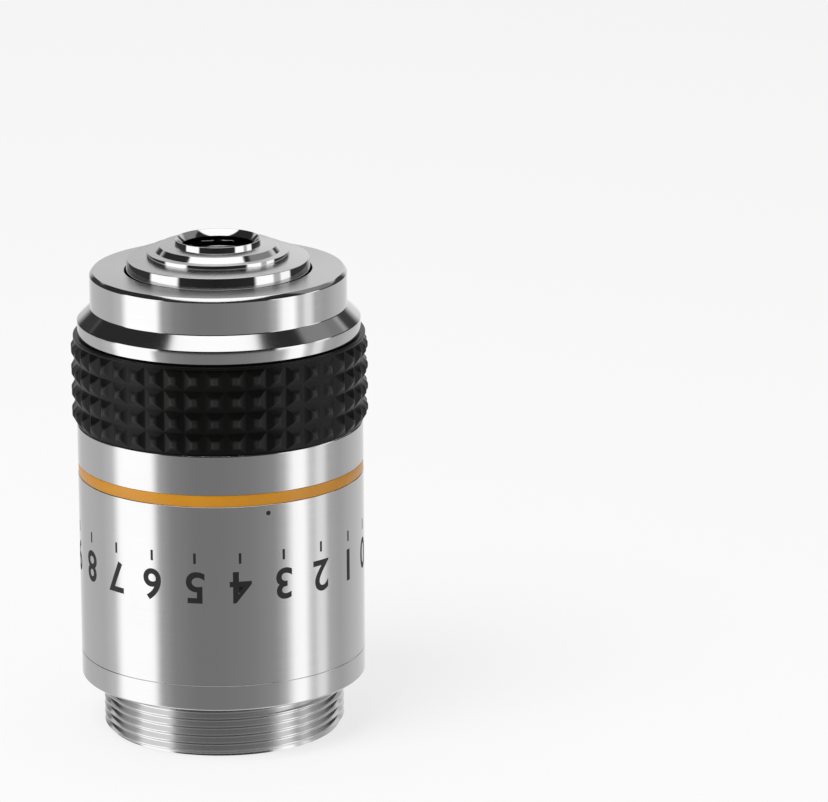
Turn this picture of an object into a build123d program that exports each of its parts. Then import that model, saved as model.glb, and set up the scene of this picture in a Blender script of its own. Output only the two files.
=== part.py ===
from build123d import *
import math
import os

# A microscope objective of low power, turned from brass and chromed, with its lenses inside.
# The optical axis is +Z, towards the nose. The origin is the centre of the shoulder that
# seats on the microscope. All sizes are in millimetres.

# Mounting thread and shoulder. The thread is the standard one, and the other radii follow it
thread_r = 10.16
thread_length = 4.6
thread_lead_in = 0.4
shoulder_width = 1.84
shoulder_length = 2.2
edge_break = 0.15

# Barrel sleeve and the coloured band let into it
barrel_wall = 1.0
sleeve_length = 19.85
band_drop = 3.95
band_width = 1.0
band_groove_depth = 0.14
band_sunk = 0.03

# Grip ring, with pyramid studs in rows
grip_proud = 0.42
grip_length = 7.45
grip_rim_length = 0.25
grip_rim_drop = 0.2
stud_rows = 4
studs_round = 44
stud_depth = 0.42
stud_flat = 0.3

# Nose cap: flange, cone, cylinder and flat front face
flange_setback = 0.15
flange_length = 1.25
cone_width = 1.1
nose_length = 2.75
nose_chamfer = 0.32
nose_face_wall = 1.4
cap_end_gap = 0.2

# Neck and bore of the body, inside the sleeve and the cap
neck_setback = 1.1
neck_wall = 1.5
body_lip_length = 0.7
body_lip_width = 0.6

# Lens tube, held against a shim by a lock ring
tube_wall = 1.46
tube_tail_length = 1.95
boss_taper = 0.08
boss_rise = 0.95
boss_bore_length = 5.05
ledge_rise = 0.15
shim_length = 0.2
lock_ring_length = 1.6
lock_ring_wall = 1.48
spanner_slot_width = 1.4
spanner_slot_depth = 0.8

# Front cell: flange, step and raised tip ring round the front lens
boss_ledge = 1.7
front_flange_length = 0.5
front_step_setback = 0.75
front_step_chamfer = 0.45
tip_ledge = 1.2
tip_ring_wall = 0.6
tip_ring_length = 0.52
tip_ring_flat = 0.12
front_shank_setback = 0.62
front_shank_length = 3.0
front_lip_width = 0.4
front_lip_length = 0.35

# Cells, spacers and rings stacked in the tube, from the nose down
cell_seat_length = 0.8
lens_seat_width = 0.5
second_cell_length = 3.4
second_cell_wall = 1.98
doublet_a_cell_length = 5.5
doublet_a_cell_wall = 1.48
doublet_b_cell_length = 5.4
doublet_b_cell_wall = 1.28
rear_cell_length = 3.2
rear_cell_wall = 1.88
spacer_wall = 1.2
stop_length = 0.4
stop_width = 2.9
retaining_ring_length = 1.6
retaining_ring_wall = 1.5

# Air between the lenses, on the axis
air_front = 1.0
air_middle = 3.33
air_rear = 4.43

# Lenses: thickness at the edge where both faces bulge, and on the axis where one is hollow
front_lens_thickness = 3.0
second_lens_edge = 0.6
crown_a_edge = 0.58
flint_a_thickness = 1.3
crown_b_edge = 0.72
flint_b_thickness = 1.4
rear_lens_thickness = 1.6

# Curves of the lens faces: the face's radius for each unit of the lens's edge radius
front_lens_hollow_ratio = 4.4
front_lens_back_ratio = 1.76
second_lens_front_ratio = 4.5
second_lens_back_ratio = 1.84
crown_a_front_ratio = 2.04
cement_a_ratio = 1.67
flint_a_back_ratio = 8.3
crown_b_front_ratio = 2.5
cement_b_ratio = 1.79
flint_b_back_ratio = 10.7
rear_lens_hollow_ratio = 2.2
rear_lens_back_ratio = 3.2

# Clearances between pieces that fit one in another
slide_fit = 0.02
thread_fit = 0.05
boss_clearance = 0.15
boss_lip_clearance = 0.1
lens_fit = 0.02
seat_gap = 0.01
cement_gap = 0.02

# Radii that follow from the sizes above
barrel_r = thread_r + shoulder_width
spigot_r = barrel_r - barrel_wall
sleeve_bore_r = spigot_r + slide_fit
grip_r = barrel_r + grip_proud
flange_r = barrel_r - flange_setback
nose_r = flange_r - cone_width
neck_r = spigot_r - neck_setback
body_bore_r = neck_r - neck_wall
body_lip_r = body_bore_r - body_lip_width
tube_r = body_bore_r - slide_fit
tube_bore_r = tube_r - tube_wall
cell_r = tube_bore_r - slide_fit
boss_r = body_lip_r - boss_lip_clearance
front_flange_r = boss_r - boss_ledge
front_shank_r = front_flange_r - front_shank_setback
front_step_r = front_flange_r - front_step_setback
tip_ring_r = front_step_r - front_step_chamfer - tip_ledge
front_opening_r = tip_ring_r - tip_ring_wall
front_lens_r = front_opening_r + front_lip_width
second_lens_r = cell_r - second_cell_wall - lens_fit
doublet_a_r = cell_r - doublet_a_cell_wall - lens_fit
doublet_b_r = cell_r - doublet_b_cell_wall - lens_fit
rear_lens_r = cell_r - rear_cell_wall - lens_fit

# Heights that follow from the sizes above
sleeve_top = shoulder_length + sleeve_length
grip_top = sleeve_top + grip_length
flange_top = grip_top + flange_length
cone_top = flange_top + cone_width
nose_edge = cone_top + nose_length
nose_face = nose_edge + nose_chamfer
cap_bore_top = nose_face - nose_face_wall
neck_top = cap_bore_top - cap_end_gap
body_lip = neck_top - body_lip_length
tube_shoulder = body_lip - shim_length
boss_rim = nose_face + boss_rise
front_seat = boss_rim + ledge_rise
stack_front = front_seat - boss_bore_length
front_flange_top = front_seat + front_flange_length
front_step_top = front_flange_top + front_step_chamfer
tip_top = front_step_top + tip_ring_length
front_lens_seat = front_step_top - front_lip_length


def closed_outline(*points):
    """Fill a closed outline of straight lines, given as radius and height."""
    with BuildLine() as outline:
        Polyline(*points, close=True)
    make_face(outline.edges())


def sag(ratio, edge_r, height):
    """How far a spherical face falls away from its middle at a height from the axis."""
    face_r = ratio * edge_r
    return face_r - math.sqrt(face_r**2 - height**2)


def bulging_thickness(edge, edge_r, front_ratio, rear_ratio):
    """Thickness on the axis of a lens whose faces both bulge, from that at its edge."""
    return edge + sag(front_ratio, edge_r, edge_r) + sag(rear_ratio, edge_r, edge_r)


def lens_outline(edge_r, front_z, front_ratio, rear_z, rear_ratio):
    """Fill half the section of a lens between its two vertices on the axis.

    The front ratio is positive where the front face bulges towards the nose. The rear ratio
    is positive where the rear face bulges away from it.
    """
    def drop(ratio, height):
        return math.copysign(sag(abs(ratio), edge_r, height), ratio)

    middle_r = edge_r / 2
    front_edge = (edge_r, front_z - drop(front_ratio, edge_r))
    front_middle = (middle_r, front_z - drop(front_ratio, middle_r))
    rear_edge = (edge_r, rear_z + drop(rear_ratio, edge_r))
    rear_middle = (middle_r, rear_z + drop(rear_ratio, middle_r))
    with BuildLine() as outline:
        ThreePointArc((0, front_z), front_middle, front_edge)
        Line(front_edge, rear_edge)
        ThreePointArc(rear_edge, rear_middle, (0, rear_z))
        Line((0, rear_z), (0, front_z))
    make_face(outline.edges())


def ring_outline(outer_r, inner_r, low, high):
    """Fill the section of a plain ring."""
    closed_outline((inner_r, low), (outer_r, low), (outer_r, high), (inner_r, high))


def cell_outline(low, high, lens_r):
    """Fill the section of a lens cell: a ring with a seat at its rear end."""
    seat_r = lens_r - lens_seat_width
    pocket_r = lens_r + lens_fit
    seat = low + cell_seat_length
    closed_outline(
        (seat_r, low),
        (cell_r, low),
        (cell_r, high),
        (pocket_r, high),
        (pocket_r, seat),
        (seat_r, seat),
    )


def vertex_rise(lens_r, ratio):
    """Rise from a cell's low end to the lens's rear vertex, the lens resting on the seat."""
    return cell_seat_length - sag(ratio, lens_r, lens_r - lens_seat_width) + seat_gap


# The stack of lenses and cells, set out down from the boss: each lens keeps its air from the
# one in front of it, and the spacers fill what is left between the cells
second_cell_low = stack_front - second_cell_length
second_lens_rear = second_cell_low + vertex_rise(second_lens_r, second_lens_back_ratio)
second_lens_thickness = bulging_thickness(
    second_lens_edge, second_lens_r, second_lens_front_ratio, second_lens_back_ratio
)
crown_a_vertex = second_lens_rear - air_front
crown_a_rear = crown_a_vertex - bulging_thickness(
    crown_a_edge, doublet_a_r, crown_a_front_ratio, cement_a_ratio
)
flint_a_front = crown_a_rear - cement_gap
flint_a_rear = flint_a_front - flint_a_thickness
doublet_a_low = flint_a_rear - vertex_rise(doublet_a_r, flint_a_back_ratio)
doublet_a_high = doublet_a_low + doublet_a_cell_length
crown_b_vertex = flint_a_rear - air_middle
crown_b_rear = crown_b_vertex - bulging_thickness(
    crown_b_edge, doublet_b_r, crown_b_front_ratio, cement_b_ratio
)
flint_b_front = crown_b_rear - cement_gap
flint_b_rear = flint_b_front - flint_b_thickness
doublet_b_low = flint_b_rear - vertex_rise(doublet_b_r, flint_b_back_ratio)
doublet_b_high = doublet_b_low + doublet_b_cell_length
rear_lens_vertex = flint_b_rear - air_rear
rear_lens_rear = rear_lens_vertex - rear_lens_thickness
rear_cell_low = rear_lens_rear - vertex_rise(rear_lens_r, rear_lens_back_ratio)
rear_cell_high = rear_cell_low + rear_cell_length
stop_low = rear_cell_low - stop_length
retaining_ring_low = stop_low - retaining_ring_length
tube_rear = retaining_ring_low - tube_tail_length
lock_ring_low = tube_rear - lock_ring_length


# Body, with the mounting thread's envelope, the shoulder, the spigot and the neck
with BuildPart() as mount_body:
    with BuildSketch(Plane.XZ):
        closed_outline(
            (body_bore_r, -thread_length),
            (thread_r - thread_lead_in, -thread_length),
            (thread_r, -thread_length + thread_lead_in),
            (thread_r, 0),
            (barrel_r - edge_break, 0),
            (barrel_r, edge_break),
            (barrel_r, shoulder_length),
            (spigot_r, shoulder_length),
            (spigot_r, grip_top),
            (neck_r, grip_top),
            (neck_r, neck_top),
            (body_lip_r, neck_top),
            (body_lip_r, body_lip),
            (body_bore_r, body_lip),
        )
    revolve(axis=Axis.Z)

# Outer sleeve, with the groove for the coloured band
band_height = sleeve_top - band_drop
band_low = band_height - band_width / 2
band_high = band_height + band_width / 2
band_floor_r = barrel_r - band_groove_depth
with BuildPart() as barrel_sleeve:
    with BuildSketch(Plane.XZ):
        closed_outline(
            (sleeve_bore_r, shoulder_length),
            (barrel_r, shoulder_length),
            (barrel_r, band_low),
            (band_floor_r, band_low),
            (band_floor_r, band_high),
            (barrel_r, band_high),
            (barrel_r, sleeve_top - edge_break),
            (barrel_r - edge_break, sleeve_top),
            (sleeve_bore_r, sleeve_top),
        )
    revolve(axis=Axis.Z)

with BuildPart() as colour_band:
    with BuildSketch(Plane.XZ):
        ring_outline(barrel_r - band_sunk, band_floor_r, band_low, band_high)
    revolve(axis=Axis.Z)

# Grip ring: a many-sided body whose rows swell and narrow, cut by straight grooves all round,
# so that each stud is a pyramid with a small flat top
stud_floor_r = grip_r - stud_depth
studs_top = grip_top - grip_rim_length
row_pitch = (studs_top - sleeve_top) / stud_rows
stud_pitch = 2 * math.pi * grip_r / studs_round
stud_half_angle = 180 / studs_round
row_slope = (row_pitch - stud_flat) / 2
round_slope = (stud_pitch - stud_flat) / 2


def many_sided_section(radius, height):
    """Lay out one level of the grip ring, with a flat side for each stud."""
    with BuildSketch(Plane.XY.offset(height)) as section:
        RegularPolygon(radius, studs_round, major_radius=False, rotation=stud_half_angle)
    return section.sketch


with BuildPart() as grip_ring:
    for row in range(stud_rows):
        row_low = sleeve_top + row * row_pitch
        flat_low = row_low + row_slope
        flat_high = flat_low + stud_flat
        row_levels = (
            (stud_floor_r, row_low),
            (grip_r, flat_low),
            (grip_r, flat_high),
            (stud_floor_r, row_low + row_pitch),
        )
        sections = [many_sided_section(radius, height) for radius, height in row_levels]
        loft(sections, ruled=True)
    with BuildSketch(Plane.XY.offset(sleeve_top)):
        with PolarLocations(grip_r, studs_round, start_angle=stud_half_angle):
            Polygon(
                (-stud_depth, 0),
                (stud_depth, 2 * round_slope),
                (stud_depth, -2 * round_slope),
                align=None,
            )
    extrude(amount=studs_top - sleeve_top, mode=Mode.SUBTRACT)
    with BuildSketch(Plane.XY.offset(studs_top)):
        Circle(grip_r - grip_rim_drop)
    extrude(amount=grip_rim_length)
    with BuildSketch(Plane.XY.offset(sleeve_top)):
        Circle(sleeve_bore_r)
    extrude(amount=grip_length, mode=Mode.SUBTRACT)

# Nose cap, screwed on to the body's neck, with the tube's boss standing through its face
cap_bore_r = neck_r + thread_fit
cap_hole_r = boss_r + boss_clearance
with BuildPart() as nose_cap:
    with BuildSketch(Plane.XZ):
        closed_outline(
            (cap_bore_r, grip_top),
            (flange_r - edge_break, grip_top),
            (flange_r, grip_top + edge_break),
            (flange_r, flange_top),
            (nose_r, cone_top),
            (nose_r, nose_edge),
            (nose_r - nose_chamfer, nose_face),
            (cap_hole_r + edge_break, nose_face),
            (cap_hole_r, nose_face - edge_break),
            (cap_hole_r, cap_bore_top),
            (cap_bore_r, cap_bore_top),
        )
    revolve(axis=Axis.Z)

# Lens tube, which slides in the body from the thread end
with BuildPart() as lens_tube:
    with BuildSketch(Plane.XZ):
        closed_outline(
            (tube_bore_r, tube_rear),
            (tube_r, tube_rear),
            (tube_r, tube_shoulder),
            (boss_r, tube_shoulder),
            (boss_r, nose_face),
            (boss_r - boss_taper, boss_rim),
            (front_flange_r, front_seat),
            (front_shank_r + thread_fit, front_seat),
            (front_shank_r + thread_fit, stack_front),
            (tube_bore_r, stack_front),
        )
    revolve(axis=Axis.Z)

with BuildPart() as parfocal_shim:
    with BuildSketch(Plane.XZ):
        ring_outline(tube_r, body_lip_r, tube_shoulder, body_lip)
    revolve(axis=Axis.Z)

with BuildPart() as tube_lock_ring:
    with BuildSketch(Plane.XZ):
        ring_outline(tube_r, tube_r - lock_ring_wall, lock_ring_low, tube_rear)
    revolve(axis=Axis.Z)
    with BuildSketch(Plane.XY.offset(lock_ring_low)):
        Rectangle(2 * barrel_r, spanner_slot_width)
    extrude(amount=spanner_slot_depth, mode=Mode.SUBTRACT)

# Front cell, screwed into the tube's boss
with BuildPart() as front_cell:
    with BuildSketch(Plane.XZ):
        closed_outline(
            (front_lens_r + lens_fit, front_seat - front_shank_length),
            (front_shank_r, front_seat - front_shank_length),
            (front_shank_r, front_seat),
            (front_flange_r, front_seat),
            (front_flange_r, front_flange_top),
            (front_step_r, front_flange_top),
            (front_step_r - front_step_chamfer, front_step_top),
            (tip_ring_r, front_step_top),
            (tip_ring_r, tip_top),
            (tip_ring_r - tip_ring_flat, tip_top),
            (front_opening_r, front_step_top),
            (front_opening_r, front_lens_seat),
            (front_lens_r + lens_fit, front_lens_seat),
        )
    revolve(axis=Axis.Z)

# Front lens, hollow towards the specimen, with its rim against the lip of its cell
front_lens_vertex = front_lens_seat - sag(front_lens_hollow_ratio, front_lens_r, front_lens_r)
with BuildPart() as front_lens:
    with BuildSketch(Plane.XZ):
        lens_outline(
            front_lens_r,
            front_lens_vertex,
            -front_lens_hollow_ratio,
            front_lens_vertex - front_lens_thickness,
            front_lens_back_ratio,
        )
    revolve(axis=Axis.Z)

# Second cell and its lens
with BuildPart() as second_cell:
    with BuildSketch(Plane.XZ):
        cell_outline(second_cell_low, stack_front, second_lens_r)
    revolve(axis=Axis.Z)

with BuildPart() as second_lens:
    with BuildSketch(Plane.XZ):
        lens_outline(
            second_lens_r,
            second_lens_rear + second_lens_thickness,
            second_lens_front_ratio,
            second_lens_rear,
            second_lens_back_ratio,
        )
    revolve(axis=Axis.Z)

with BuildPart() as spacer_front:
    with BuildSketch(Plane.XZ):
        ring_outline(cell_r, cell_r - spacer_wall, doublet_a_high, second_cell_low)
    revolve(axis=Axis.Z)

# First doublet: a crown lens cemented to a flint lens, in one cell
with BuildPart() as doublet_a_cell:
    with BuildSketch(Plane.XZ):
        cell_outline(doublet_a_low, doublet_a_high, doublet_a_r)
    revolve(axis=Axis.Z)

with BuildPart() as doublet_a_flint:
    with BuildSketch(Plane.XZ):
        lens_outline(doublet_a_r, flint_a_front, -cement_a_ratio, flint_a_rear, flint_a_back_ratio)
    revolve(axis=Axis.Z)

with BuildPart() as doublet_a_crown:
    with BuildSketch(Plane.XZ):
        lens_outline(doublet_a_r, crown_a_vertex, crown_a_front_ratio, crown_a_rear, cement_a_ratio)
    revolve(axis=Axis.Z)

with BuildPart() as spacer_middle:
    with BuildSketch(Plane.XZ):
        ring_outline(cell_r, cell_r - spacer_wall, doublet_b_high, doublet_a_low)
    revolve(axis=Axis.Z)

# Second doublet, made like the first
with BuildPart() as doublet_b_cell:
    with BuildSketch(Plane.XZ):
        cell_outline(doublet_b_low, doublet_b_high, doublet_b_r)
    revolve(axis=Axis.Z)

with BuildPart() as doublet_b_flint:
    with BuildSketch(Plane.XZ):
        lens_outline(doublet_b_r, flint_b_front, -cement_b_ratio, flint_b_rear, flint_b_back_ratio)
    revolve(axis=Axis.Z)

with BuildPart() as doublet_b_crown:
    with BuildSketch(Plane.XZ):
        lens_outline(doublet_b_r, crown_b_vertex, crown_b_front_ratio, crown_b_rear, cement_b_ratio)
    revolve(axis=Axis.Z)

with BuildPart() as spacer_rear:
    with BuildSketch(Plane.XZ):
        ring_outline(cell_r, cell_r - spacer_wall, rear_cell_high, doublet_b_low)
    revolve(axis=Axis.Z)

# Rear lens, hollow towards the nose, in its cell
with BuildPart() as rear_lens_cell:
    with BuildSketch(Plane.XZ):
        cell_outline(rear_cell_low, rear_cell_high, rear_lens_r)
    revolve(axis=Axis.Z)

with BuildPart() as rear_lens:
    with BuildSketch(Plane.XZ):
        lens_outline(
            rear_lens_r,
            rear_lens_vertex,
            -rear_lens_hollow_ratio,
            rear_lens_rear,
            rear_lens_back_ratio,
        )
    revolve(axis=Axis.Z)

# Aperture stop, and the slotted ring that holds the whole stack
with BuildPart() as aperture_stop:
    with BuildSketch(Plane.XZ):
        ring_outline(cell_r, cell_r - stop_width, stop_low, rear_cell_low)
    revolve(axis=Axis.Z)

with BuildPart() as rear_retaining_ring:
    with BuildSketch(Plane.XZ):
        ring_outline(cell_r, cell_r - retaining_ring_wall, retaining_ring_low, stop_low)
    revolve(axis=Axis.Z)
    with BuildSketch(Plane.XY.offset(retaining_ring_low)):
        Rectangle(2 * barrel_r, spanner_slot_width)
    extrude(amount=spanner_slot_depth, mode=Mode.SUBTRACT)

# One file for each piece
pieces = {
    "mount_body": mount_body,
    "barrel_sleeve": barrel_sleeve,
    "colour_band": colour_band,
    "grip_ring": grip_ring,
    "nose_cap": nose_cap,
    "lens_tube": lens_tube,
    "parfocal_shim": parfocal_shim,
    "tube_lock_ring": tube_lock_ring,
    "front_cell": front_cell,
    "front_lens": front_lens,
    "second_cell": second_cell,
    "second_lens": second_lens,
    "spacer_front": spacer_front,
    "doublet_a_cell": doublet_a_cell,
    "doublet_a_crown": doublet_a_crown,
    "doublet_a_flint": doublet_a_flint,
    "spacer_middle": spacer_middle,
    "doublet_b_cell": doublet_b_cell,
    "doublet_b_crown": doublet_b_crown,
    "doublet_b_flint": doublet_b_flint,
    "spacer_rear": spacer_rear,
    "rear_lens_cell": rear_lens_cell,
    "rear_lens": rear_lens,
    "aperture_stop": aperture_stop,
    "rear_retaining_ring": rear_retaining_ring,
}

os.makedirs("parts", exist_ok=True)
for name, piece in pieces.items():
    piece.part.label = name
    export_step(piece.part, f"parts/{name}.step")

print(f"shoulder to tip {tip_top:.2f} mm, {len(pieces)} pieces")
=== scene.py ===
# %% [markdown]
# # A microscope objective, standing on its thread
# The packed model is the frame: it gives every size and place in metres, with the optical
# axis on Z and the seating shoulder at the origin. This lesson dresses it: the turned pieces
# get clean edges, the mounting thread gets its turns, and each surface gets its finish.

# %% Load the packed model
import math

import bmesh
import bpy
from mathutils import Matrix, Vector


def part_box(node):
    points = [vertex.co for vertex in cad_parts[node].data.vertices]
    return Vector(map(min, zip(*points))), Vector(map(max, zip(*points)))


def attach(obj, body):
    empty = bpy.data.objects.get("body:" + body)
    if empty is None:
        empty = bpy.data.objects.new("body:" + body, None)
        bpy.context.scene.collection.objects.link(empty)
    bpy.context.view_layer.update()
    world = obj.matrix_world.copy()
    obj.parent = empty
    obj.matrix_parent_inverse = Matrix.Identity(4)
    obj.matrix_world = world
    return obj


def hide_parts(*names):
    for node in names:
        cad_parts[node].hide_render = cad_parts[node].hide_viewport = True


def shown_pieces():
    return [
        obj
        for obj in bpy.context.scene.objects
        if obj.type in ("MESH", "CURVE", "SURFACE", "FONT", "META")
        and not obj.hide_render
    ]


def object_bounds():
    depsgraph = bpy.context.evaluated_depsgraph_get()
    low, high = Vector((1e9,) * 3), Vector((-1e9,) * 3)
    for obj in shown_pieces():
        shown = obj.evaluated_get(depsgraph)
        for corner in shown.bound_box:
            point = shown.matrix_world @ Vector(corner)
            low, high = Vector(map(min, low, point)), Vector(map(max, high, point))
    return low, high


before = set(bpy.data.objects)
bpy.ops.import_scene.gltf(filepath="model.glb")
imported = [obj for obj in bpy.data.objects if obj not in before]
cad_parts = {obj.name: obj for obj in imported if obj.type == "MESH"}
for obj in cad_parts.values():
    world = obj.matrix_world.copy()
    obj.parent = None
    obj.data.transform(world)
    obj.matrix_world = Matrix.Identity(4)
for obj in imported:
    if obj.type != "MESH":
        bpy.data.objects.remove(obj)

MM = 0.001
cad_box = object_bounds()
spans = [round((high - low) / MM, 2) for low, high in zip(*cad_box)]
print("nodes", len(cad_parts), "box in mm", spans)

# %% [markdown]
# ## Sizes from the frame
# A turned piece is known by its radius and by how low and how high it reaches. These could be
# typed in again, but read from the box of each node they follow the model when it changes.

# %% Radius and heights of the outer pieces


def reach(node):
    """Outer radius, lowest and highest point of a turned node."""
    low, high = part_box(node)
    return high.x, low.z, high.z


barrel_r, sleeve_low, sleeve_high = reach("barrel_sleeve")
band_r, band_low, band_high = reach("colour_band")
grip_r, grip_low, grip_high = reach("grip_ring")
flange_r, cap_low, nose_face = reach("nose_cap")
tube_r, tube_low, boss_rim = reach("lens_tube")
thread_end, neck_top = reach("mount_body")[1:]
tip_flange_r, shank_low, tip_top = reach("front_cell")
front_lens_top = reach("front_lens")[2]
print("in mm: barrel", round(barrel_r / MM, 2), "grip", round(grip_r / MM, 2),
      "tip", round(tip_top / MM, 2))

# %% [markdown]
# ## Turning a piece
# A lathe makes these pieces, so the script does as a lathe does: it takes half a section,
# rounds its corners a little, and spins it round the axis. A real edge is never sharp, and the
# small round is what catches the light. The doubles at the seam are merged before the normals
# are worked out. Smooth shading would tilt a long wall's ends towards its small rounds, and
# polished metal shows that at once, so a Weighted Normal modifier lets the large faces win.

# %% A finished piece
SMOOTH_ANGLE = math.radians(28)
LARGE_FACES_WIN = 90


def finish_piece(name, bm, node=None):
    """Make a mesh object at the origin, let it ride on the frame and stand for a node."""
    mesh = bpy.data.meshes.new(name)
    bm.to_mesh(mesh)
    bm.free()
    for face in mesh.polygons:
        face.use_smooth = True
    mesh.set_sharp_from_angle(angle=SMOOTH_ANGLE)
    piece = bpy.data.objects.new(name, mesh)
    bpy.context.collection.objects.link(piece)
    shading = piece.modifiers.new("even_shading", "WEIGHTED_NORMAL")
    shading.mode = "FACE_AREA"
    shading.weight = LARGE_FACES_WIN
    shading.keep_sharp = True
    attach(piece, "root")
    if node:
        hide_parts(node)
    print(name, "faces", len(mesh.polygons))


# %% The lathe
TURN_STEPS = 240
EDGE_ROUND = 0.05 * MM
SAME_PLACE = 0.0001 * MM


def turned_mesh(outline, edge=EDGE_ROUND):
    """Spin a closed outline of (radius, height) corners round the axis."""
    bm = bmesh.new()
    corners = [bm.verts.new((radius, 0, height)) for radius, height in outline]
    for start, end in zip(corners, corners[1:] + corners[:1]):
        bm.edges.new((start, end))
    bmesh.ops.bevel(
        bm, geom=corners, offset=edge, affect="VERTICES", segments=3, profile=0.5,
        clamp_overlap=True, material=-1,
    )
    bmesh.ops.spin(
        bm, geom=bm.verts[:] + bm.edges[:], cent=(0, 0, 0), axis=(0, 0, 1), dvec=(0, 0, 0),
        angle=math.tau, steps=TURN_STEPS, use_merge=True,
    )
    bmesh.ops.remove_doubles(bm, verts=bm.verts, dist=SAME_PLACE)
    bmesh.ops.recalc_face_normals(bm, faces=bm.faces)
    return bm


print("steps a turn", TURN_STEPS)

# %% [markdown]
# ## The body and its mounting thread
# The model holds the thread as a plain cylinder at its outer radius. The real one is a V cut
# in a helix, and the objective stands on it here. A cutter swept along a helix and taken away
# from the body would make it too, but slowly and with ragged faces. So the body is turned at
# the root of the thread, and a ridge with the thread's section is spun round it, rising by one
# pitch a turn. It is spun too long and cut level at both ends.

# %% The body, turned at the thread's root
INCH = 25.4 * MM
TURNS_AN_INCH = 36
THREAD_R = 10.16 * MM
THREAD_PITCH = INCH / TURNS_AN_INCH
THREAD_DEPTH = 0.42 * MM
EDGE_BREAK = 0.15 * MM
SPIGOT_STEP = 1.0 * MM
NECK_STEP = 1.1 * MM
BODY_WALL = 1.5 * MM
LIP_WIDTH = 0.6 * MM
LIP_THICKNESS = 0.7 * MM
thread_root_r = THREAD_R - THREAD_DEPTH
spigot_r = barrel_r - SPIGOT_STEP
neck_r = spigot_r - NECK_STEP
body_bore_r = neck_r - BODY_WALL
body_lip_r = body_bore_r - LIP_WIDTH
body_lip = neck_top - LIP_THICKNESS

body_mesh = turned_mesh([
    (body_bore_r, thread_end),
    (thread_root_r, thread_end),
    (thread_root_r, 0),
    (barrel_r - EDGE_BREAK, 0),
    (barrel_r, EDGE_BREAK),
    (barrel_r, sleeve_low),
    (spigot_r, sleeve_low),
    (spigot_r, grip_high),
    (neck_r, grip_high),
    (neck_r, neck_top),
    (body_lip_r, neck_top),
    (body_lip_r, body_lip),
    (body_bore_r, body_lip),
])
print("in mm: thread root", round(thread_root_r / MM, 2), "neck", round(neck_r / MM, 2))

# %% The thread's ridge
RIDGE_SUNK = 0.05 * MM
CREST_FLAT = 0.09 * MM
ROOT_FLAT = 0.09 * MM
RUN_OUT = -0.62 * MM
STEPS_A_TURN = 120

ridge = bmesh.new()
half_foot = (THREAD_PITCH - ROOT_FLAT) / 2
section = (
    (thread_root_r - RIDGE_SUNK, -half_foot),
    (thread_root_r, -half_foot),
    (THREAD_R, -CREST_FLAT / 2),
    (THREAD_R, CREST_FLAT / 2),
    (thread_root_r, half_foot),
    (thread_root_r - RIDGE_SUNK, half_foot),
)
ridge_low = thread_end - THREAD_PITCH
ridge.faces.new([ridge.verts.new((radius, 0, ridge_low + rise)) for radius, rise in section])
turns = (RUN_OUT - ridge_low) / THREAD_PITCH + 1
ridge_steps = round(turns * STEPS_A_TURN)
bmesh.ops.spin(
    ridge, geom=ridge.faces[:], cent=(0, 0, 0), axis=(0, 0, 1),
    dvec=(0, 0, THREAD_PITCH / STEPS_A_TURN), angle=math.tau * ridge_steps / STEPS_A_TURN,
    steps=ridge_steps, use_merge=False,
)
print("thread turns", round(turns, 2))

# %% Both ends cut level, and the lead-in
LEAD_IN = 0.4 * MM
CUT_SNAP = 0.00001 * MM


def cut_flat(bm, height, keep_above):
    """Cut a mesh off level at a height and close the cut."""
    cut = bmesh.ops.bisect_plane(
        bm, geom=bm.verts[:] + bm.edges[:] + bm.faces[:], dist=CUT_SNAP,
        plane_co=(0, 0, height), plane_no=(0, 0, 1),
        clear_inner=keep_above, clear_outer=not keep_above,
    )
    rim = [item for item in cut["geom_cut"] if isinstance(item, bmesh.types.BMEdge)]
    bmesh.ops.holes_fill(bm, edges=rim, sides=0)


cut_flat(ridge, thread_end, keep_above=True)
cut_flat(ridge, RUN_OUT, keep_above=False)
for vert in ridge.verts:
    radius = math.hypot(vert.co.x, vert.co.y)
    widest = THREAD_R - LEAD_IN + vert.co.z - thread_end
    if radius > widest:
        vert.co.xy *= widest / radius
bmesh.ops.recalc_face_normals(ridge, faces=ridge.faces)
print("ridge faces", len(ridge.faces))

# %% Body and ridge as one piece


def take_in(bm, other):
    """Add the faces of another mesh to this one, and free the other."""
    part = bpy.data.meshes.new("part")
    other.to_mesh(part)
    other.free()
    bm.from_mesh(part)
    bpy.data.meshes.remove(part)


take_in(body_mesh, ridge)
finish_piece("threaded_body", body_mesh, "mount_body")

# %% [markdown]
# ## The sleeve and its coloured band
# The sleeve is one tube with a shallow groove near its top. The enamel lies in the groove, a
# hair narrower than it, so a fine dark line stays at both edges. A coloured stripe in the
# sleeve's material would be less work, but it would have neither that line nor the enamel's
# own gloss, so the band is a piece of its own.

# %% Sleeve and band
SLEEVE_PLAY = 0.02 * MM
GROOVE_DEPTH = 0.14 * MM
BAND_PLAY = 0.01 * MM
sleeve_bore = spigot_r + SLEEVE_PLAY
groove_floor = barrel_r - GROOVE_DEPTH

finish_piece("barrel", turned_mesh([
    (sleeve_bore, sleeve_low),
    (barrel_r, sleeve_low),
    (barrel_r, band_low),
    (groove_floor, band_low),
    (groove_floor, band_high),
    (barrel_r, band_high),
    (barrel_r, sleeve_high - EDGE_BREAK),
    (barrel_r - EDGE_BREAK, sleeve_high),
    (sleeve_bore, sleeve_high),
]), "barrel_sleeve")

finish_piece("enamel_band", turned_mesh([
    (groove_floor, band_low + BAND_PLAY),
    (band_r, band_low + BAND_PLAY),
    (band_r, band_high - BAND_PLAY),
    (groove_floor, band_high - BAND_PLAY),
]), "colour_band")

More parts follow.
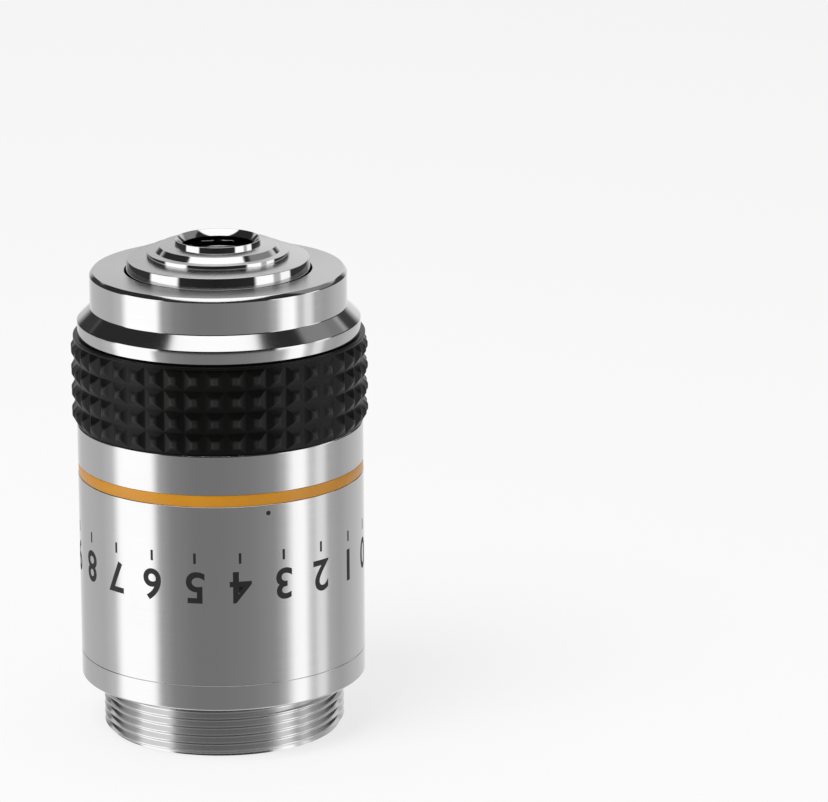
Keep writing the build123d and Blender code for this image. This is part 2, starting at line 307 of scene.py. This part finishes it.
# %% [markdown]
# ## The grip ring
# On the real ring the studs are what grooves leave standing: straight ones all along it and
# turned ones round it. The cut could be made the same way here, but it is simpler to make one
# stud and to repeat it. The stud is a square with two insets: a narrow one that stays on the
# floor of the grooves, and a wide one that rises to the tip. Its raised edges get a small
# bevel, so that they hold a highlight as worn edges do.

# %% One stud
STUD_ROWS = 4
STUDS_ROUND = 44
STUD_TIP = 0.3 * MM
GROOVE_FLAT = 0.05 * MM
STUD_EDGE = 0.06 * MM
RIM_LENGTH = 0.25 * MM
STUD_MERGE = 0.001 * MM
studs_top = grip_high - RIM_LENGTH
row_pitch = (studs_top - grip_low) / STUD_ROWS
stud_width = 2 * barrel_r * math.tan(math.pi / STUDS_ROUND)

grip_mesh = bmesh.new()
bmesh.ops.create_grid(grip_mesh, x_segments=1, y_segments=1, size=0.5)
bmesh.ops.scale(grip_mesh, verts=grip_mesh.verts, vec=(stud_width, row_pitch, 1))
base = grip_mesh.faces[:]
bmesh.ops.inset_individual(grip_mesh, faces=base, thickness=GROOVE_FLAT, use_even_offset=True)
slope = (stud_width - STUD_TIP) / 2 - GROOVE_FLAT
bmesh.ops.inset_individual(
    grip_mesh, faces=base, thickness=slope, depth=grip_r - barrel_r, use_even_offset=True,
)
raised_edges = [
    edge for edge in grip_mesh.edges if edge.verts[0].co.z + edge.verts[1].co.z > STUD_MERGE
]
bmesh.ops.bevel(
    grip_mesh, geom=raised_edges, offset=STUD_EDGE, affect="EDGES", segments=2, profile=0.5,
    clamp_overlap=True, material=-1,
)
print("faces of one stud", len(grip_mesh.faces))

# %% A column of studs, and the columns round the ring
upright = Matrix.Rotation(math.pi / 2, 3, "X")
bmesh.ops.rotate(grip_mesh, verts=grip_mesh.verts, cent=(0, 0, 0), matrix=upright)
to_the_front = (0, -barrel_r, grip_low + row_pitch / 2)
bmesh.ops.translate(grip_mesh, verts=grip_mesh.verts, vec=to_the_front)
first_stud = grip_mesh.verts[:] + grip_mesh.edges[:] + grip_mesh.faces[:]
for row in range(1, STUD_ROWS):
    copied = bmesh.ops.duplicate(grip_mesh, geom=first_stud)["geom"]
    copied_verts = [item for item in copied if isinstance(item, bmesh.types.BMVert)]
    bmesh.ops.translate(grip_mesh, verts=copied_verts, vec=(0, 0, row * row_pitch))
bmesh.ops.spin(
    grip_mesh, geom=grip_mesh.verts[:] + grip_mesh.edges[:] + grip_mesh.faces[:],
    cent=(0, 0, 0), axis=(0, 0, 1), dvec=(0, 0, 0), use_duplicate=True,
    angle=math.tau * (STUDS_ROUND - 1) / STUDS_ROUND, steps=STUDS_ROUND - 1,
)
bmesh.ops.remove_doubles(grip_mesh, verts=grip_mesh.verts, dist=STUD_MERGE)
print("studs", STUD_ROWS * STUDS_ROUND, "faces", len(grip_mesh.faces))

# %% The ring is closed down to its bore, and a plain rim lies on it
RIM_DROP = 0.2 * MM
rims = bmesh.ops.extrude_edge_only(
    grip_mesh, edges=[edge for edge in grip_mesh.edges if edge.is_boundary],
)["geom"]
for vert in [item for item in rims if isinstance(item, bmesh.types.BMVert)]:
    vert.co.xy *= sleeve_bore / vert.co.xy.length
bmesh.ops.bridge_loops(
    grip_mesh, edges=[item for item in rims if isinstance(item, bmesh.types.BMEdge)],
)
bmesh.ops.recalc_face_normals(grip_mesh, faces=grip_mesh.faces)
take_in(grip_mesh, turned_mesh([
    (sleeve_bore, studs_top),
    (grip_r - RIM_DROP, studs_top),
    (grip_r - RIM_DROP, grip_high),
    (sleeve_bore, grip_high),
]))
finish_piece("studded_grip", grip_mesh, "grip_ring")

# %% [markdown]
# ## The nose
# The nose cap, the boss of the inner tube and the front cell stand one in another like the
# steps of a cake. One outline could draw all three, but they are separate pieces, and the
# thin dark gaps between them show. Each is turned with its own flats, walls and chamfers,
# because each of those mirrors another part of the room.

# %% Nose cap
FLANGE_LENGTH = 1.25 * MM
CONE_WIDTH = 1.1 * MM
NOSE_CHAMFER = 0.32 * MM
CHAMFER_LEAN = 0.82
BOSS_STEP = 0.1 * MM
BOSS_PLAY = 0.15 * MM
NECK_PLAY = 0.05 * MM
CAP_FRONT = 1.4 * MM
nose_r = flange_r - CONE_WIDTH
flange_top = cap_low + FLANGE_LENGTH
boss_r = body_lip_r - BOSS_STEP
cap_hole_r = boss_r + BOSS_PLAY
cap_bore_r = neck_r + NECK_PLAY
cap_bore_top = nose_face - CAP_FRONT

finish_piece("nose", turned_mesh([
    (cap_bore_r, cap_low),
    (flange_r - EDGE_BREAK, cap_low),
    (flange_r, cap_low + EDGE_BREAK),
    (flange_r, flange_top),
    (nose_r, flange_top + CONE_WIDTH),
    (nose_r, nose_face - NOSE_CHAMFER),
    (nose_r - NOSE_CHAMFER * CHAMFER_LEAN, nose_face),
    (cap_hole_r, nose_face),
    (cap_hole_r, cap_bore_top),
    (cap_bore_r, cap_bore_top),
]), "nose_cap")

# %% Lens tube with its boss
TUBE_WALL = 1.46 * MM
LIP_PLAY = 0.2 * MM
BOSS_LEAN = 0.08 * MM
BOSS_CROWN = 0.15 * MM
SHANK_STEP = 0.62 * MM
SHANK_PLAY = 0.05 * MM
SOCKET_DEPTH = 4.9 * MM
tube_bore_r = tube_r - TUBE_WALL
boss_low = body_lip - LIP_PLAY
shank_r = tip_flange_r - SHANK_STEP
socket_r = shank_r + SHANK_PLAY
socket_floor = boss_rim - SOCKET_DEPTH

finish_piece("inner_tube", turned_mesh([
    (tube_bore_r, tube_low),
    (tube_r, tube_low),
    (tube_r, boss_low),
    (boss_r, boss_low),
    (boss_r, nose_face),
    (boss_r - BOSS_LEAN, boss_rim - BOSS_CROWN),
    (tip_flange_r, boss_rim),
    (socket_r, boss_rim),
    (socket_r, socket_floor),
    (tube_bore_r, socket_floor),
]), "lens_tube")

# %% Front cell with its step and tip ring
FINE_EDGE = 0.015 * MM
STEP_SETBACK = 0.75 * MM
STEP_CHAMFER = 0.45 * MM
STEP_FLAT = 1.2 * MM
TIP_RING_LENGTH = 0.52 * MM
TIP_RING_WALL = 0.6 * MM
TIP_RING_FLAT = 0.12 * MM
WALL_TAPER = 0.036 * MM
LENS_LEDGE = 0.42 * MM
step_top = tip_top - TIP_RING_LENGTH
step_low = step_top - STEP_CHAMFER
step_r = tip_flange_r - STEP_SETBACK
tip_ring_r = step_r - STEP_CHAMFER - STEP_FLAT
opening_r = tip_ring_r - TIP_RING_WALL
cell_bore_r = opening_r + LENS_LEDGE

finish_piece("front_mount", turned_mesh([
    (cell_bore_r, shank_low),
    (shank_r, shank_low),
    (shank_r, boss_rim),
    (tip_flange_r, boss_rim),
    (tip_flange_r - WALL_TAPER, step_low),
    (step_r, step_low),
    (step_r - STEP_CHAMFER * CHAMFER_LEAN, step_top),
    (tip_ring_r, step_top),
    (tip_ring_r - WALL_TAPER, tip_top),
    (tip_ring_r - TIP_RING_FLAT, tip_top),
    (opening_r, step_top),
    (opening_r, front_lens_top),
    (cell_bore_r, front_lens_top),
], edge=FINE_EDGE), "front_cell")

# %% [markdown]
# ## The index figures
# Plain figures from 0 to 9 with a tick at each are painted dark on the barrel. They stand
# upside down here, because an objective hangs nose down when it is read. A dark mask in the
# barrel's material would need drawing figure by figure, so each figure is text made a mesh. It
# is sliced into narrow upright strips, so that it can bend, and wrapped on to the barrel,
# where it stands a hair proud as paint does.

# %% A figure and a tick, flat
PAINT_DEPTH = 0.05 * MM
STRIP = 0.12 * MM
FIGURE_HEIGHT = 2.7 * MM
FIGURE_BOLD = 0.018
HALF_DEPTH = 0.5
TICK_WIDTH = 0.22 * MM
TICK_LENGTH = 0.9 * MM
TICK_GAP = 0.7 * MM


def flat_figure(text):
    """A figure lying flat with its middle at the origin, cut into narrow upright strips."""
    curve = bpy.data.curves.new("figure", "FONT")
    curve.body = text
    curve.align_x = "CENTER"
    curve.align_y = "CENTER"
    curve.extrude = HALF_DEPTH
    curve.offset = FIGURE_BOLD
    writing = bpy.data.objects.new("figure", curve)
    bpy.context.collection.objects.link(writing)
    bpy.context.view_layer.update()
    mesh = bpy.data.meshes.new_from_object(writing)
    bpy.data.objects.remove(writing)
    bm = bmesh.new()
    bm.from_mesh(mesh)
    highest = max(vert.co.y for vert in bm.verts)
    lowest = min(vert.co.y for vert in bm.verts)
    size = FIGURE_HEIGHT / (highest - lowest)
    bmesh.ops.translate(bm, verts=bm.verts, vec=(0, -(highest + lowest) / 2, 0))
    bmesh.ops.scale(bm, verts=bm.verts, vec=(size, size, PAINT_DEPTH))
    left = min(vert.co.x for vert in bm.verts)
    right = max(vert.co.x for vert in bm.verts)
    for strip in range(1, math.ceil((right - left) / STRIP)):
        bmesh.ops.bisect_plane(
            bm, geom=bm.verts[:] + bm.edges[:] + bm.faces[:], dist=SAME_PLACE,
            plane_co=(left + strip * STRIP, 0, 0), plane_no=(1, 0, 0),
        )
    return bm


def add_tick(bm):
    """A short line below a flat figure."""
    verts = bmesh.ops.create_cube(bm, size=1.0)["verts"]
    bmesh.ops.scale(bm, verts=verts, vec=(TICK_WIDTH, TICK_LENGTH, PAINT_DEPTH))
    drop = FIGURE_HEIGHT / 2 + TICK_GAP + TICK_LENGTH / 2
    bmesh.ops.translate(bm, verts=verts, vec=(0, -drop, 0))


print("figure height in mm", round(FIGURE_HEIGHT / MM, 2))

# %% The figures wrapped round the front of the barrel
FIGURES = "0123456789"
FIGURE_STEP = math.radians(18)
FIGURE_LEVEL = 10.7 * MM
PAINT_PROUD = 0.004 * MM
PAINT_MERGE = 0.0005 * MM
paint_r = barrel_r + PAINT_PROUD - PAINT_DEPTH / 2
index_mesh = bmesh.new()
for count, text in enumerate(FIGURES):
    middle_angle = FIGURE_STEP * ((len(FIGURES) - 1) / 2 - count)
    figure = flat_figure(text)
    add_tick(figure)
    for vert in figure.verts:
        angle = middle_angle - vert.co.x / barrel_r
        radius = paint_r + vert.co.z
        level = FIGURE_LEVEL - vert.co.y
        vert.co = (radius * math.sin(angle), -radius * math.cos(angle), level)
    take_in(index_mesh, figure)
bmesh.ops.remove_doubles(index_mesh, verts=index_mesh.verts, dist=PAINT_MERGE)
bmesh.ops.recalc_face_normals(index_mesh, faces=index_mesh.faces)
finish_piece("index_figures", index_mesh)

# %% [markdown]
# ## The dark dot under the band, a painted shade
# A small dark dot sits just under the band, right of the middle. It is painted shade: dark
# paint set where a small drilled hole would look dark, since the hole itself is not cut. A
# disc would show a hard rim, so it is made from a ball, pressed nearly flat and set on the
# barrel.

# %% Dot
DOT_RADIUS = 0.2 * MM
DOT_PROUD = 0.02 * MM
DOT_ANGLE = math.radians(20.7)
DOT_LEVEL = 16.9 * MM
# The dot is painted shade: dark paint where a small hole would be dark.
dot_mesh = bmesh.new()
bmesh.ops.create_uvsphere(dot_mesh, u_segments=24, v_segments=12, radius=DOT_RADIUS)
bmesh.ops.scale(dot_mesh, verts=dot_mesh.verts, vec=(1, DOT_PROUD / DOT_RADIUS, 1))
bmesh.ops.translate(dot_mesh, verts=dot_mesh.verts, vec=(0, -barrel_r, DOT_LEVEL))
aside = Matrix.Rotation(DOT_ANGLE, 3, "Z")
bmesh.ops.rotate(dot_mesh, verts=dot_mesh.verts, cent=(0, 0, 0), matrix=aside)
finish_piece("painted_hole_shade", dot_mesh)

# %% [markdown]
# ## Maths for the shaders
# A material is a sum of masks and patterns, so it reads best as a sum. Nodes could be placed
# and linked one by one, but the sums would be hard to find again. This class wraps one output
# of a node and adds Math nodes when it meets an operator. One method adds any other node.

# %% A socket that can be added and multiplied


def fill_ramp(ramp, stops):
    """Give a colour ramp its stops, each a place and a grey level."""
    ramp.remove(ramp[1])
    ramp[0].position, level = stops[0]
    ramp[0].color = (level, level, level, 1)
    for place, level in stops[1:]:
        ramp.new(place).color = (level, level, level, 1)


class Signal:
    """One output of a shader node, or a bare node tree to start from."""

    def __init__(self, tree, output=None):
        self.tree = tree
        self.output = output

    def node(self, kind, settings=None, sockets=None, output=0):
        """Add a node of a type, with its settings first and its sockets next."""
        made = self.tree.nodes.new(kind)
        for key, value in (settings or {}).items():
            if key == "stops":
                fill_ramp(made.color_ramp.elements, value)
            else:
                setattr(made, key, value)
        for key, value in (sockets or {}).items():
            if isinstance(value, Signal):
                self.tree.links.new(value.output, made.inputs[key])
            else:
                made.inputs[key].default_value = value
        return Signal(self.tree, made.outputs[output] if made.outputs else None)

    def maths(self, operation, first, second=0.0):
        """Add a Math node."""
        return self.node("ShaderNodeMath", {"operation": operation}, {0: first, 1: second})

    def __add__(self, other):
        return self.maths("ADD", self, other)

    def __radd__(self, other):
        return self.maths("ADD", other, self)

    def __sub__(self, other):
        return self.maths("SUBTRACT", self, other)

    def __rsub__(self, other):
        return self.maths("SUBTRACT", other, self)

    def __mul__(self, other):
        return self.maths("MULTIPLY", self, other)

    def __rmul__(self, other):
        return self.maths("MULTIPLY", other, self)

    def split(self):
        """The three parts of a vector."""
        parts = self.node("ShaderNodeSeparateXYZ", None, {0: self}).output.node
        return [Signal(self.tree, part) for part in parts.outputs]

    def root(self):
        """The square root."""
        return self.maths("SQRT", self)

    def size(self):
        """The value without its sign."""
        return self.maths("ABSOLUTE", self)

    def step(self, start, end):
        """A smooth rise from 0 at start to 1 at end."""
        return self.node(
            "ShaderNodeMapRange", {"interpolation_type": "SMOOTHSTEP"},
            {"Value": self, "From Min": start, "From Max": end},
        )


print("a Signal has", [name for name in vars(Signal) if not name.startswith("_")])

# %% [markdown]
# ## What the finishes share
# Each finish starts from Object coordinates and varies its colour with noise. Most vary their
# gloss too, and let the noise tilt the surface a little. An image could give the same, but
# noise has detail at any distance and needs no unwrapping. These few helpers keep each finish
# down to its own numbers.

# %% A new material, its noise, its mixes and its bumps


def new_material(name):
    """Give a material, its shader and its Object coordinates as a Signal."""
    material = bpy.data.materials.new(name)
    material.use_nodes = True
    tree = material.node_tree
    place = Signal(tree).node("ShaderNodeTexCoord", output="Object")
    return material, tree.nodes["Principled BSDF"], place


def feed(signal, shader, socket):
    """Link a signal to a socket of a shader."""
    signal.tree.links.new(signal.output, shader.inputs[socket])


def noise(place, scale, detail, roughness=0.5):
    """Noise over a place, with its middle near a half."""
    return place.node(
        "ShaderNodeTexNoise", None,
        {"Vector": place, "Scale": scale, "Detail": detail, "Roughness": roughness},
    )


def colour_mix(factor, first, second):
    """Mix two colours by a factor."""
    return factor.node(
        "ShaderNodeMix", {"data_type": "RGBA"}, {0: factor, 6: first, 7: second}, output=2,
    )


def bump(height, strength, distance):
    """Tilt the surface by a height."""
    return height.node(
        "ShaderNodeBump", None, {"Strength": strength, "Distance": distance, "Height": height},
    )


def from_axis(place):
    """Distance from the optical axis."""
    x, y = place.split()[:2]
    return (x * x + y * y).root()

# %% [markdown]
# ## Turned and plated metal
# A lathe leaves fine rings: on a wall they lie one above another, on a face one inside
# another. Radius plus height counts both, so noise over that sum gives rings on every side of
# a turned piece. The rings tilt the light a little and vary the gloss. Rings too fine to see
# smear a mirrored lamp across them, which is what the shader's anisotropy does, turned by a
# quarter. Faces are left rougher than walls, as a lathe leaves them. The wall of the opening
# at the tip is blackened against stray light.

# %% Metal with turning marks
ACROSS_THE_RINGS = 0.25
MARKS_A_MM = 9.0
MARKS_ASIDE = 60.0
MARK_GLOSS = 0.10
HAZE_SCALE = 260.0
HAZE_GLOSS = 0.06
WALL_TO_FACE = (0.85, 0.99)
DARK_TONE = 0.88
BORE_BLACK = (0.01, 0.01, 0.01, 1)
BORE_EDGE = 0.02 * MM


def turned_metal(name, colour, wall_rough, face_rough, mark_depth, smear=0.7, black_bore=None):
    """Plated metal with fine turning marks, rougher on its faces than on its walls."""
    material, shader, place = new_material(name)
    shader.inputs["Metallic"].default_value = 1.0
    shader.inputs["Anisotropic"].default_value = smear
    shader.inputs["Anisotropic Rotation"].default_value = ACROSS_THE_RINGS
    x, y, z = place.split()
    radius = from_axis(place)
    rings = place.node("ShaderNodeCombineXYZ", None, {
        0: (radius + z) * (MARKS_A_MM / MM), 1: x * MARKS_ASIDE, 2: y * MARKS_ASIDE,
    })
    marks = noise(rings, scale=1.0, detail=3.0, roughness=0.6)
    haze = noise(place, HAZE_SCALE, detail=3.0)
    facing_up = place.node("ShaderNodeNewGeometry", output="Normal").split()[2].size()
    rough = wall_rough + facing_up.step(*WALL_TO_FACE) * (face_rough - wall_rough)
    feed((marks - 0.5) * MARK_GLOSS + (haze - 0.5) * HAZE_GLOSS + rough, shader, "Roughness")
    dark = [DARK_TONE * part for part in colour]
    plating = colour_mix((marks + haze) * 0.5, (*dark, 1), (*colour, 1))
    if black_bore:
        outside = radius.step(black_bore, black_bore + BORE_EDGE)
        plating = colour_mix(outside, BORE_BLACK, plating)
    feed(plating, shader, "Base Color")
    feed(bump(marks, 1.0, mark_depth), shader, "Normal")
    print(name, "nodes", len(material.node_tree.nodes))
    return material


# %% The metals
CHROME = (0.70, 0.70, 0.70)
STEEL = (0.55, 0.55, 0.56)
BLACKENED = (0.03, 0.03, 0.03)
MARK_DEPTH = 0.0006 * MM
NOSE_MARK_DEPTH = 0.0004 * MM
TIP_MARK_DEPTH = 0.0002 * MM
satin_chrome = turned_metal(
    "satin_chrome", CHROME, wall_rough=0.15, face_rough=0.30, mark_depth=MARK_DEPTH, smear=0.5,
)
nose_chrome = turned_metal(
    "nose_chrome", CHROME, wall_rough=0.09, face_rough=0.30, mark_depth=NOSE_MARK_DEPTH,
    smear=0.5,
)
tip_chrome = turned_metal(
    "tip_chrome", CHROME, wall_rough=0.06, face_rough=0.26, mark_depth=TIP_MARK_DEPTH,
    black_bore=opening_r,
)
shim_steel = turned_metal(
    "shim_steel", STEEL, wall_rough=0.3, face_rough=0.3, mark_depth=MARK_DEPTH,
)
blackened = turned_metal(
    "blackened_brass", BLACKENED, wall_rough=0.5, face_rough=0.5, mark_depth=MARK_DEPTH,
)

# %% [markdown]
# ## Black grip, enamel and glass
# The grip is anodised black with a low gloss, a fine grain, and a little pale wear towards the
# tips of the studs. The wear is a mask on the distance from the axis, which needs no painting.
# The enamel is a thick gloss paint. The lenses are clear glass with dark metal behind them.

# %% Black grip
GRIP_BLACK = (0.002, 0.002, 0.002, 1)
GRIP_SOFT_BLACK = (0.005, 0.005, 0.0045, 1)
GRIP_WORN = (0.03, 0.03, 0.029, 1)
WEAR_DEPTH = 0.15 * MM
GRIP_CLOUDS = 300.0
GRAIN_SCALE = 3500.0
GRAIN_DEPTH = 0.004 * MM
GRAIN_GLOSS = 0.14
GRIP_ROUGH = 0.24
GRIP_SPECULAR = 0.18


def grip_black():
    """Anodised black with a fine grain, paler towards the tips of the studs."""
    material, shader, place = new_material("grip_black")
    grain = noise(place, GRAIN_SCALE, detail=4.0)
    cloud = noise(place, GRIP_CLOUDS, detail=2.0)
    worn = from_axis(place).step(grip_r - WEAR_DEPTH, grip_r) * cloud
    black = colour_mix(cloud, GRIP_BLACK, GRIP_SOFT_BLACK)
    feed(colour_mix(worn, black, GRIP_WORN), shader, "Base Color")
    feed(GRIP_ROUGH + grain * GRAIN_GLOSS, shader, "Roughness")
    feed(bump(grain, 0.5, GRAIN_DEPTH), shader, "Normal")
    shader.inputs["Specular IOR Level"].default_value = GRIP_SPECULAR
    return material


grip_material = grip_black()
print(grip_material.name, "nodes", len(grip_material.node_tree.nodes))

# %% Enamel and paint
ENAMEL_CLOUDS = 420.0
ENAMEL_GLOSS = 0.08
ENAMEL_DEPTH = 0.006 * MM


def enamel(name, light, dark, rough):
    """Paint with a slight unevenness in tone and surface."""
    material, shader, place = new_material(name)
    cloud = noise(place, ENAMEL_CLOUDS, detail=3.0)
    feed(colour_mix(cloud, (*dark, 1), (*light, 1)), shader, "Base Color")
    feed(rough + cloud * ENAMEL_GLOSS, shader, "Roughness")
    feed(bump(cloud, 0.4, ENAMEL_DEPTH), shader, "Normal")
    return material


band_enamel = enamel(
    "band_enamel", light=(0.64, 0.27, 0.006), dark=(0.54, 0.22, 0.005), rough=0.22,
)
# The same dark paint marks the figures, which are print, and the dot under the band, which is
# painted shade.
print_and_painted_shade = enamel(
    "print_and_painted_shade", light=(0.016, 0.016, 0.017), dark=(0.010, 0.010, 0.011), rough=0.55,
)
print(band_enamel.name, print_and_painted_shade.name)

# %% Lens glass
GLASS_COOL = (0.90, 0.95, 0.98, 1)
GLASS_WARM = (0.94, 0.92, 0.98, 1)
GLASS_CLOUDS = 200.0
GLASS_ROUGH = 0.01
GLASS_GLOSS = 0.02
GLASS_SPECULAR = 0.06
CROWN_IOR = 1.52


def lens_glass():
    """Clear polished glass with a faint tint and little gloss, as if coated."""
    material, shader, place = new_material("lens_glass")
    cloud = noise(place, GLASS_CLOUDS, detail=1.0)
    feed(colour_mix(cloud, GLASS_COOL, GLASS_WARM), shader, "Base Color")
    feed(GLASS_ROUGH + cloud * GLASS_GLOSS, shader, "Roughness")
    shader.inputs["Transmission Weight"].default_value = 1.0
    shader.inputs["IOR"].default_value = CROWN_IOR
    shader.inputs["Specular IOR Level"].default_value = GLASS_SPECULAR
    return material


glass = lens_glass()
print(glass.name, "nodes", len(glass.node_tree.nodes))

# %% [markdown]
# ## Every piece gets its finish
# The new pieces and the shim are found by name. The other nodes keep their own shape, and most
# of them are hidden inside. They are glass if their name ends in lens, crown or flint, and
# otherwise blackened metal.

# %% Finishes of the pieces
finishes = {
    "threaded_body": satin_chrome,
    "barrel": satin_chrome,
    "enamel_band": band_enamel,
    "studded_grip": grip_material,
    "nose": nose_chrome,
    "inner_tube": tip_chrome,
    "front_mount": tip_chrome,
    "parfocal_shim": shim_steel,
    "index_figures": print_and_painted_shade,
    # The dot's dark paint is painted shade for a small hole.
    "painted_hole_shade": print_and_painted_shade,
}
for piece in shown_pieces():
    finish = finishes.get(piece.name)
    if finish is None:
        is_glass = piece.name.endswith(("lens", "crown", "flint"))
        finish = glass if is_glass else blackened
    piece.data.materials.clear()
    piece.data.materials.append(finish)
    print(piece.name, finish.name)

# %% [markdown]
# ## Floor, room and light
# The floor is plain and pale. Polished metal shows the room. Cards and lamps round the object
# would give it one, but each would have to be hidden from the camera and would light the soft
# surfaces too, so the room is drawn in the world: a pale wall behind, bright panels to the
# left and right, a panel overhead, and the darkness round the camera. Only glossy rays meet
# it. The camera sees a white backdrop, and soft surfaces get an even light.

# %% Floor
FLOOR_SIZE = 6.0
floor_mesh = bmesh.new()
bmesh.ops.create_grid(floor_mesh, x_segments=1, y_segments=1, size=FLOOR_SIZE / 2)
bmesh.ops.translate(floor_mesh, verts=floor_mesh.verts, vec=(0, 0, thread_end))
floor_data = bpy.data.meshes.new("floor")
floor_mesh.to_mesh(floor_data)
floor_mesh.free()
floor = bpy.data.objects.new("floor", floor_data)
bpy.context.collection.objects.link(floor)
floor.visible_glossy = False
print("floor at", round(thread_end / MM, 2), "mm")

# %% The floor's finish, partly white to the camera
FLOOR_LIGHT = (0.90, 0.90, 0.90, 1)
FLOOR_DARK = (0.88, 0.88, 0.88, 1)
FLOOR_CLOUDS = 8.0
FLOOR_ROUGH = 0.9
SEEN_WHITE = 0.7
floor_material, floor_shader, floor_place = new_material("pale_floor")
floor_tone = noise(floor_place, FLOOR_CLOUDS, detail=2.0)
feed(colour_mix(floor_tone, FLOOR_DARK, FLOOR_LIGHT), floor_shader, "Base Color")
floor_shader.inputs["Roughness"].default_value = FLOOR_ROUGH
floor_shader.inputs["Specular IOR Level"].default_value = 0.0
floor_look = floor_place.node("ShaderNodeMixShader", None, {
    0: floor_place.node("ShaderNodeLightPath", output="Is Camera Ray") * SEEN_WHITE,
    1: Signal(floor_place.tree, floor_shader.outputs[0]),
    2: floor_place.node("ShaderNodeEmission"),
})
feed(floor_look, floor_place.tree.nodes["Material Output"], "Surface")
floor_data.materials.append(floor_material)
print(floor_material.name, "nodes", len(floor_place.tree.nodes))

# %% Directions in the room
world = bpy.data.worlds.new("studio")
bpy.context.scene.world = world
world.use_nodes = True
world.node_tree.nodes.clear()
studio = Signal(world.node_tree)
east, north, up = studio.node("ShaderNodeTexCoord", output="Generated").split()
turn = east.maths("ARCTAN2", east, north * -1.0) * (0.5 / math.pi) + 0.5
BRIGHTEST = 2.0


def round_the_room(levels):
    """A ramp of brightness over the degrees round the room, 0 towards the camera."""
    stops = [((degrees + 180) / 360, level / BRIGHTEST) for degrees, level in levels]
    return turn.node("ShaderNodeValToRGB", {"stops": stops}, {0: turn}) * BRIGHTEST


print("nodes for the directions", len(world.node_tree.nodes))

# %% The table and the walls, from below the level to above it
low_room = round_the_room([
    (-180, 0.95), (-150, 0.62), (-110, 0.58), (-96, 0.72), (-88, 1.5), (-56, 1.5), (-50, 0.5),
    (-38, 0.31), (-20, 0.25), (0, 0.25), (25, 0.28), (45, 0.36), (54, 0.6), (62, 1.4),
    (72, 1.5), (78, 0.8), (82, 0.75), (86, 1.05), (92, 1.05), (98, 0.55), (112, 0.48),
    (130, 0.6), (160, 0.75), (180, 0.95),
])
wall_room = round_the_room([
    (-180, 0.86), (-176, 0.60), (-160, 0.65), (-150, 0.05), (-92, 0.04), (-88, 1.5),
    (-51, 1.5), (-47, 0.03), (0, 0.02), (47, 0.03), (51, 1.5), (73, 1.5), (76, 0.6),
    (84, 0.6), (87, 1.4), (101, 1.4), (104, 0.04), (150, 0.06), (160, 0.8), (180, 0.86),
])
high_room = round_the_room([
    (-180, 0.86), (-176, 0.7), (-140, 0.75), (-132, 0.03), (95, 0.03), (100, 0.25),
    (131, 0.25), (140, 0.8), (180, 0.86),
])
top_room = round_the_room([
    (-180, 0.65), (-150, 0.65), (-135, 0.03), (94, 0.03), (99, 0.30), (133, 0.30),
    (150, 0.65), (180, 0.65),
])
print("nodes with the walls", len(world.node_tree.nodes))

# %% One above another, with a panel overhead
TABLE_EDGE = (-0.16, -0.12)
WALL_TOP = (0.33, 0.39)
CEILING_EDGE = (0.50, 0.56)
PANEL_EDGE = (0.855, 0.875)
PANEL_TILT = 0.026
PANEL_LEVEL = 1.5


def mixed(first, second, mask):
    """The first where the mask is 0, the second where it is 1."""
    return first + (second - first) * mask


room = mixed(low_room, wall_room, up.step(*TABLE_EDGE))
room = mixed(room, high_room, up.step(*WALL_TOP))
room = mixed(room, top_room, up.step(*CEILING_EDGE))
room = mixed(room, PANEL_LEVEL, (up - east * PANEL_TILT).step(*PANEL_EDGE))
print("panel overhead from", round(math.degrees(math.asin(PANEL_EDGE[0]))), "degrees up")

# %% White for the camera, even for soft surfaces
AMBIENT = 0.62
WHITE = 1.0
seen = studio.node("ShaderNodeLightPath", output="Is Camera Ray")
glossy = studio.node("ShaderNodeLightPath", output="Is Glossy Ray")
strength = mixed(mixed(AMBIENT, room, glossy), WHITE, seen)
background = studio.node(
    "ShaderNodeBackground", None, {"Color": (1, 1, 1, 1), "Strength": strength},
)
studio.node("ShaderNodeOutputWorld", None, {"Surface": background})
print("world nodes", len(world.node_tree.nodes))

# %% Key light
KEY_SIZE = 0.35
KEY_POWER = 1.5
KEY_PLACE = Vector((-0.18, -0.22, 0.45))
KEY_AIM = Vector((0, 0, 0.015))
key_data = bpy.data.lights.new("key", "AREA")
key_data.shape = "DISK"
key_data.size = KEY_SIZE
key_data.energy = KEY_POWER
key = bpy.data.objects.new("key", key_data)
key.location = KEY_PLACE
key.rotation_euler = (KEY_AIM - KEY_PLACE).to_track_quat("-Z", "Y").to_euler()
key.visible_glossy = False
bpy.context.collection.objects.link(key)
print("key light", round((KEY_AIM - KEY_PLACE).length, 2), "m away")

# %% [markdown]
# ## Camera
# The camera stands where the photograph was taken from: a long lens, fifteen degrees above the
# level, with the objective left of the middle. It could be set by eye, but these values come
# from fitting the pieces' own edges to the photograph.

# %% Camera
FOCAL_PIXELS = 5557.0
IMAGE_WIDTH = 828
SENSOR_WIDTH = 36.0
NEAREST = 0.01
CAMERA_PLACE = (0.016264, -0.45007, 0.144699)
LOOK_DOWN = 15.09
ROLL = -0.326
camera_data = bpy.data.cameras.new("camera")
camera_data.sensor_width = SENSOR_WIDTH
camera_data.lens = SENSOR_WIDTH * FOCAL_PIXELS / IMAGE_WIDTH
camera_data.clip_start = NEAREST
camera = bpy.data.objects.new("camera", camera_data)
looking = Matrix.Rotation(math.radians(90 - LOOK_DOWN), 4, "X")
rolled = Matrix.Rotation(math.radians(ROLL), 4, "Z")
camera.matrix_world = Matrix.Translation(CAMERA_PLACE) @ looking @ rolled
bpy.context.collection.objects.link(camera)
bpy.context.scene.camera = camera
print("lens in mm", round(camera_data.lens, 1))

# %% [markdown]
# ## Plain colours
# The view transform is the plain one, so that colours render about as they are written.

# %% View transform
bpy.context.scene.view_settings.view_transform = "Standard"
